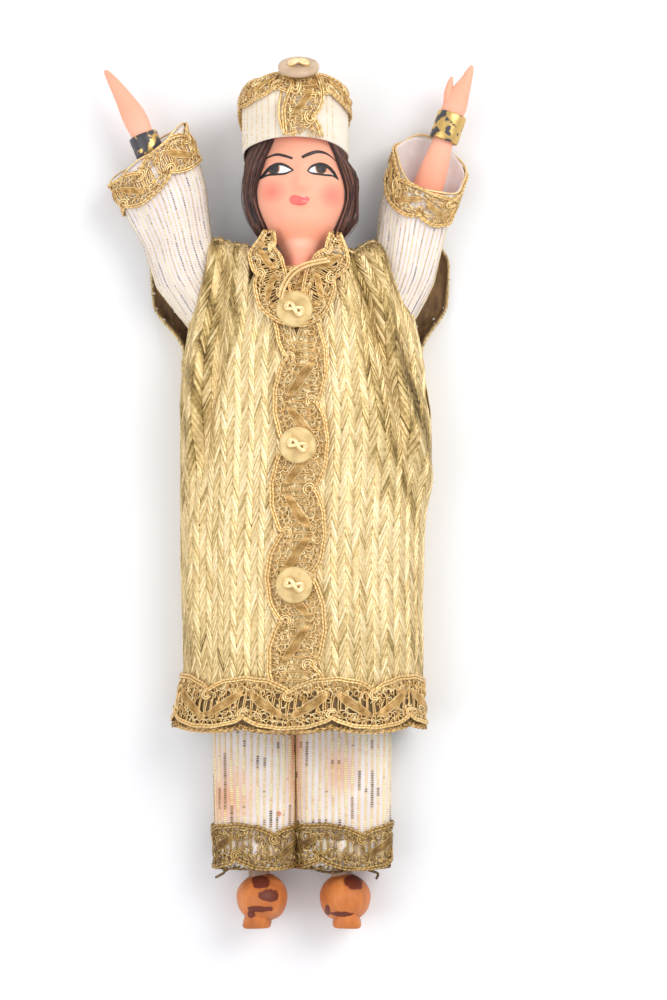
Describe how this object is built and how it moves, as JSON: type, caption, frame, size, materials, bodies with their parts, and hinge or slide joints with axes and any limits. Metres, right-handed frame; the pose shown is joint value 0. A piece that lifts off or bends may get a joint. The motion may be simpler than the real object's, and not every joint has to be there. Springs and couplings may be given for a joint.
{
  "type": "marionette puppet",
  "caption": "Jointed string puppet of a robed figure with cap, lace-edged gold robe, striped sleeves and trousers, pinned arms and legs and a turning head.",
  "frame": {"origin": "on the flat back of the robe, on the puppet's centre line, between chest and hips", "axes": "+X towards the puppet's own left hand, +Y towards its head, +Z out of its chest; it lies on its back"},
  "size_m": [0.1121, 0.2612, 0.0374],
  "materials": {
    "wood": "satin",
    "skin": "satin",
    "hair": "matte",
    "gold_cloth": "satin",
    "gold_lace": "satin",
    "cream_cloth": "matte",
    "button": "satin",
    "thread": "satin",
    "bracelet": "satin",
    "shoe": "satin",
    "steel": "brushed"
  },
  "bodies": {
    "torso": {"button_bottom": "button", "button_middle": "button", "button_thread_bottom": "thread", "button_thread_middle": "thread", "button_thread_top": "thread", "button_top": "button", "collar_lace": "gold_lace", "hem_lace": "gold_lace", "hip_pin": "steel", "left_shoulder_pin": "steel", "neck_pin": "steel", "placket_lace": "gold_lace", "right_shoulder_pin": "steel", "robe_back": "gold_cloth", "robe_front_left": "gold_cloth", "robe_front_right": "gold_cloth", "torso_block": "wood"},
    "neck": {"neck_peg": "wood"},
    "head": {"cap": "cream_cloth", "cap_band_lace": "gold_lace", "cap_button": "button", "cap_button_thread": "thread", "cap_front_lace": "gold_lace", "hair": "hair", "head_shell": "skin"},
    "right_upper_arm": {"right_elbow_pin": "steel", "right_sleeve": "cream_cloth", "right_upper_arm": "wood"},
    "right_forearm": {"right_bracelet": "bracelet", "right_forearm": "skin", "right_sleeve_lace": "gold_lace"},
    "right_thigh": {"right_knee_pin": "steel", "right_thigh": "wood", "right_trouser_leg": "cream_cloth"},
    "right_shin": {"right_shin": "wood", "right_shoe": "shoe", "right_shoe_sole": "shoe", "right_trouser_lace": "gold_lace"},
    "left_upper_arm": {"left_elbow_pin": "steel", "left_sleeve": "cream_cloth", "left_upper_arm": "wood"},
    "left_forearm": {"left_bracelet": "bracelet", "left_forearm": "skin", "left_sleeve_lace": "gold_lace"},
    "left_thigh": {"left_knee_pin": "steel", "left_thigh": "wood", "left_trouser_leg": "cream_cloth"},
    "left_shin": {"left_shin": "wood", "left_shoe": "shoe", "left_shoe_sole": "shoe", "left_trouser_lace": "gold_lace"}
  },
  "joints": [
    {"name": "neck_nod", "type": "hinge", "parent": "torso", "child": "neck", "pos_m": [0, 0.058, 0.015], "axis": [1, 0, 0], "range_deg": [-8, 12]},
    {"name": "neck_turn", "type": "hinge", "parent": "neck", "child": "head", "pos_m": [0, 0.07, 0.015], "axis": [0, 1, 0], "range_deg": [-60, 60]},
    {"name": "right_shoulder", "type": "hinge", "parent": "torso", "child": "right_upper_arm", "pos_m": [-0.024, 0.053, 0.0112], "axis": [0, 0, 1], "range_deg": [-12, 68]},
    {"name": "right_elbow", "type": "hinge", "parent": "right_upper_arm", "child": "right_forearm", "pos_m": [-0.03467, 0.07889, 0.0112], "axis": [0.9245, 0.3811, 0], "range_deg": [0, 68], "deforming": ["right_sleeve"]},
    {"name": "left_shoulder", "type": "hinge", "parent": "torso", "child": "left_upper_arm", "pos_m": [0.024, 0.053, 0.0112], "axis": [0, 0, -1], "range_deg": [-12, 68]},
    {"name": "left_elbow", "type": "hinge", "parent": "left_upper_arm", "child": "left_forearm", "pos_m": [0.03316, 0.07946, 0.0112], "axis": [0.9449, -0.3272, 0], "range_deg": [0, 68], "deforming": ["left_sleeve"]},
    {"name": "right_hip", "type": "hinge", "parent": "torso", "child": "right_thigh", "pos_m": [-0.0125, -0.0135, 0.0112], "axis": [-1, 0, 0], "range_deg": [-3, 10]},
    {"name": "right_knee", "type": "hinge", "parent": "right_thigh", "child": "right_shin", "pos_m": [-0.0125, -0.0735, 0.0112], "axis": [1, 0, 0], "range_deg": [0, 80], "deforming": ["right_trouser_leg"]},
    {"name": "left_hip", "type": "hinge", "parent": "torso", "child": "left_thigh", "pos_m": [0.0125, -0.0135, 0.0112], "axis": [-1, 0, 0], "range_deg": [-3, 10]},
    {"name": "left_knee", "type": "hinge", "parent": "left_thigh", "child": "left_shin", "pos_m": [0.0125, -0.0735, 0.0112], "axis": [1, 0, 0], "range_deg": [0, 80], "deforming": ["left_trouser_leg"]}
  ]
}
